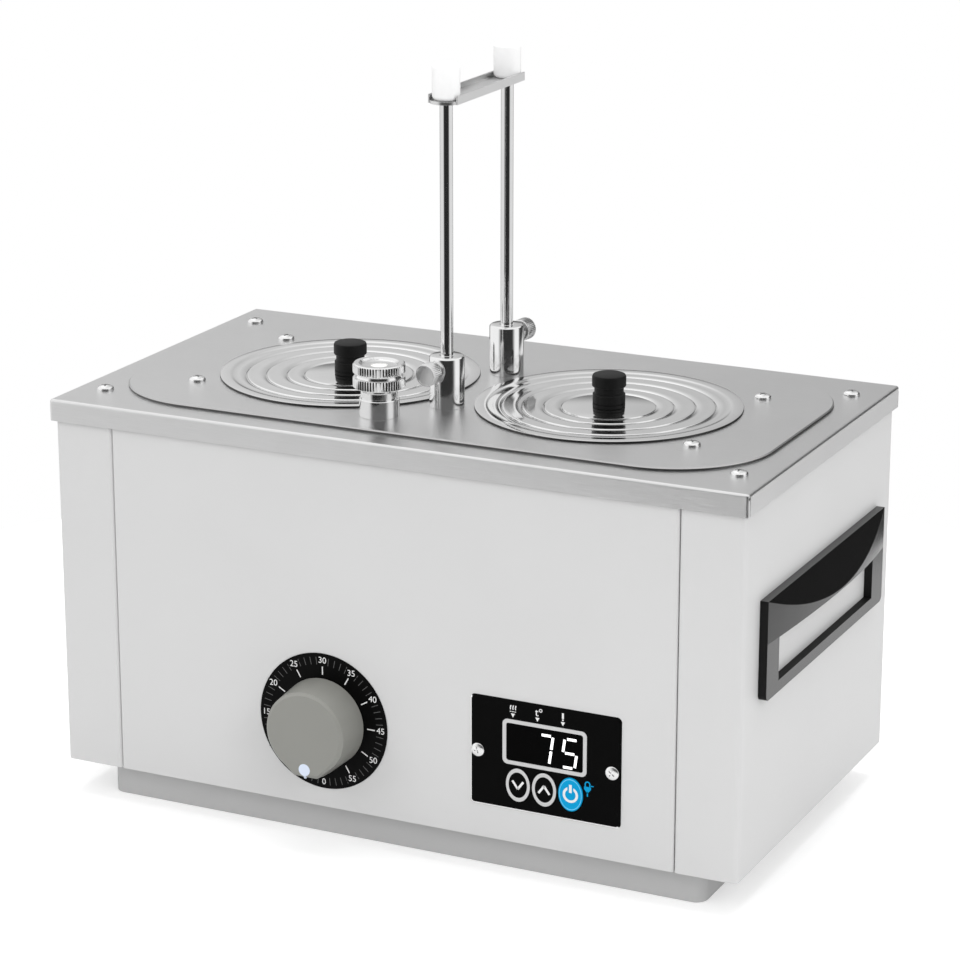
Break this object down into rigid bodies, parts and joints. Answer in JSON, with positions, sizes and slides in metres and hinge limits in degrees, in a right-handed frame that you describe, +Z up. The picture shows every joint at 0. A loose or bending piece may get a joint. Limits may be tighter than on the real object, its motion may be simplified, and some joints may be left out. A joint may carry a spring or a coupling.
{
  "type": "laboratory water bath",
  "caption": "Bench-top water bath with painted sheet body, stainless cover, nested ring covers with lids, lifting shelf on rods, mechanical timer, temperature controller and side handles.",
  "frame": {"origin": "on the bench, under the middle of the body's footprint", "axes": "+X to the right seen from the front, +Y towards the back (the front faces -Y), +Z up"},
  "size_m": [0.3726, 0.2166, 0.3615],
  "materials": {
    "painted_body": "satin light grey",
    "painted_plinth": "satin mid grey",
    "brushed_cover": "fine brushed",
    "tank_steel": "satin",
    "polished_steel": "polished",
    "nickel": "plated",
    "steel_screws": "plated",
    "black_plastic": "matte",
    "dial_black": "matte",
    "panel_black": "satin",
    "display_lens": "gloss",
    "button_blue": "satin",
    "knob_grey": "satin",
    "cap_white": "satin",
    "seal_rubber": "matte",
    "felt": "fibrous",
    "timer_case": "satin",
    "thermostat_case": "matte",
    "circuit_green": "satin"
  },
  "bodies": {
    "cabinet": {"bottom_plate": "painted_body", "left_side_shell": "painted_body", "right_side_shell": "painted_body", "front_panel": "painted_body", "rear_panel": "painted_body", "base_plinth": "painted_plinth", "top_cover": "brushed_cover", "insert_plate": "brushed_cover", "inner_tank": "tank_steel", "heater_element": "tank_steel", "temperature_probe": "tank_steel", "front_collar": "polished_steel", "rear_collar": "polished_steel", "gland_body": "nickel", "cover_screws": "steel_screws", "insert_screws": "steel_screws", "plate_nuts": "steel_screws", "heater_nuts": "steel_screws", "handle_screws": "steel_screws", "controller_screws": "steel_screws", "left_handle": "black_plastic", "right_handle": "black_plastic", "mains_inlet": "black_plastic", "controller_housing": "black_plastic", "timer_dial": "dial_black", "controller_bezel": "panel_black", "display_window": "display_lens", "gland_seal": "seal_rubber", "tank_insulation": "felt", "timer_body": "timer_case", "limit_thermostat": "thermostat_case", "power_board": "circuit_green"},
    "left_ring_1_body": {"left_ring_1": "polished_steel"},
    "left_ring_2_body": {"left_ring_2": "polished_steel"},
    "left_ring_3_body": {"left_ring_3": "polished_steel"},
    "left_ring_4_body": {"left_ring_4": "polished_steel"},
    "left_lid_body": {"left_lid": "polished_steel", "left_lid_knob": "black_plastic"},
    "right_ring_1_body": {"right_ring_1": "polished_steel"},
    "right_ring_2_body": {"right_ring_2": "polished_steel"},
    "right_ring_3_body": {"right_ring_3": "polished_steel"},
    "right_ring_4_body": {"right_ring_4": "polished_steel"},
    "right_lid_body": {"right_lid": "polished_steel", "right_lid_knob": "black_plastic"},
    "lifting_frame": {"lifting_shelf": "tank_steel", "shelf_nuts": "steel_screws", "front_rod": "polished_steel", "rear_rod": "polished_steel", "cross_bar": "polished_steel", "front_cap": "cap_white", "rear_cap": "cap_white"},
    "front_clamp": {"front_thumbscrew": "polished_steel"},
    "rear_clamp": {"rear_thumbscrew": "polished_steel"},
    "gland_head": {"gland_nut": "nickel"},
    "timer_grip": {"timer_knob": "knob_grey", "timer_shaft": "polished_steel"},
    "down_key": {"down_button": "button_blue"},
    "up_key": {"up_button": "button_blue"},
    "power_key": {"power_button": "button_blue"}
  },
  "joints": [
    {"name": "left_ring_1_lift", "type": "slide", "parent": "cabinet", "child": "left_ring_1_body", "axis": [0, 0, 1], "range_m": [0, 0.03]},
    {"name": "left_ring_2_lift", "type": "slide", "parent": "left_ring_1_body", "child": "left_ring_2_body", "axis": [0, 0, 1], "range_m": [0, 0.03]},
    {"name": "left_ring_3_lift", "type": "slide", "parent": "left_ring_2_body", "child": "left_ring_3_body", "axis": [0, 0, 1], "range_m": [0, 0.03]},
    {"name": "left_ring_4_lift", "type": "slide", "parent": "left_ring_3_body", "child": "left_ring_4_body", "axis": [0, 0, 1], "range_m": [0, 0.03]},
    {"name": "left_lid_lift", "type": "slide", "parent": "left_ring_4_body", "child": "left_lid_body", "axis": [0, 0, 1], "range_m": [0, 0.06]},
    {"name": "right_ring_1_lift", "type": "slide", "parent": "cabinet", "child": "right_ring_1_body", "axis": [0, 0, 1], "range_m": [0, 0.03]},
    {"name": "right_ring_2_lift", "type": "slide", "parent": "right_ring_1_body", "child": "right_ring_2_body", "axis": [0, 0, 1], "range_m": [0, 0.03]},
    {"name": "right_ring_3_lift", "type": "slide", "parent": "right_ring_2_body", "child": "right_ring_3_body", "axis": [0, 0, 1], "range_m": [0, 0.03]},
    {"name": "right_ring_4_lift", "type": "slide", "parent": "right_ring_3_body", "child": "right_ring_4_body", "axis": [0, 0, 1], "range_m": [0, 0.03]},
    {"name": "right_lid_lift", "type": "slide", "parent": "right_ring_4_body", "child": "right_lid_body", "axis": [0, 0, 1], "range_m": [0, 0.06]},
    {"name": "shelf_slide", "type": "slide", "parent": "cabinet", "child": "lifting_frame", "axis": [0, 0, 1], "range_m": [-0.06, 0]},
    {"name": "front_thumbscrew_turn", "type": "hinge", "parent": "cabinet", "child": "front_clamp", "pos_m": [0, -0.0325, 0.2192], "axis": [-0.1219, -0.9925, 0], "range_deg": [0, 720]},
    {"name": "rear_thumbscrew_turn", "type": "hinge", "parent": "cabinet", "child": "rear_clamp", "pos_m": [0, 0.0325, 0.2192], "axis": [0.1219, 0.9925, 0], "range_deg": [0, 720]},
    {"name": "gland_nut_turn", "type": "hinge", "parent": "cabinet", "child": "gland_head", "pos_m": [-0.0213, -0.06, 0.2205], "axis": [0, 0, 1], "range_deg": [0, 720]},
    {"name": "timer_turn", "type": "hinge", "parent": "cabinet", "child": "timer_grip", "pos_m": [-0.0328, -0.097, 0.06], "axis": [0, 1, 0], "range_deg": [0, 354]},
    {"name": "down_press", "type": "slide", "parent": "cabinet", "child": "down_key", "axis": [0, 1, 0], "range_m": [0, 0.0008], "stiffness_N_per_m": 1500},
    {"name": "up_press", "type": "slide", "parent": "cabinet", "child": "up_key", "axis": [0, 1, 0], "range_m": [0, 0.0008], "stiffness_N_per_m": 1500},
    {"name": "power_press", "type": "slide", "parent": "cabinet", "child": "power_key", "axis": [0, 1, 0], "range_m": [0, 0.0008], "stiffness_N_per_m": 1500}
  ]
}
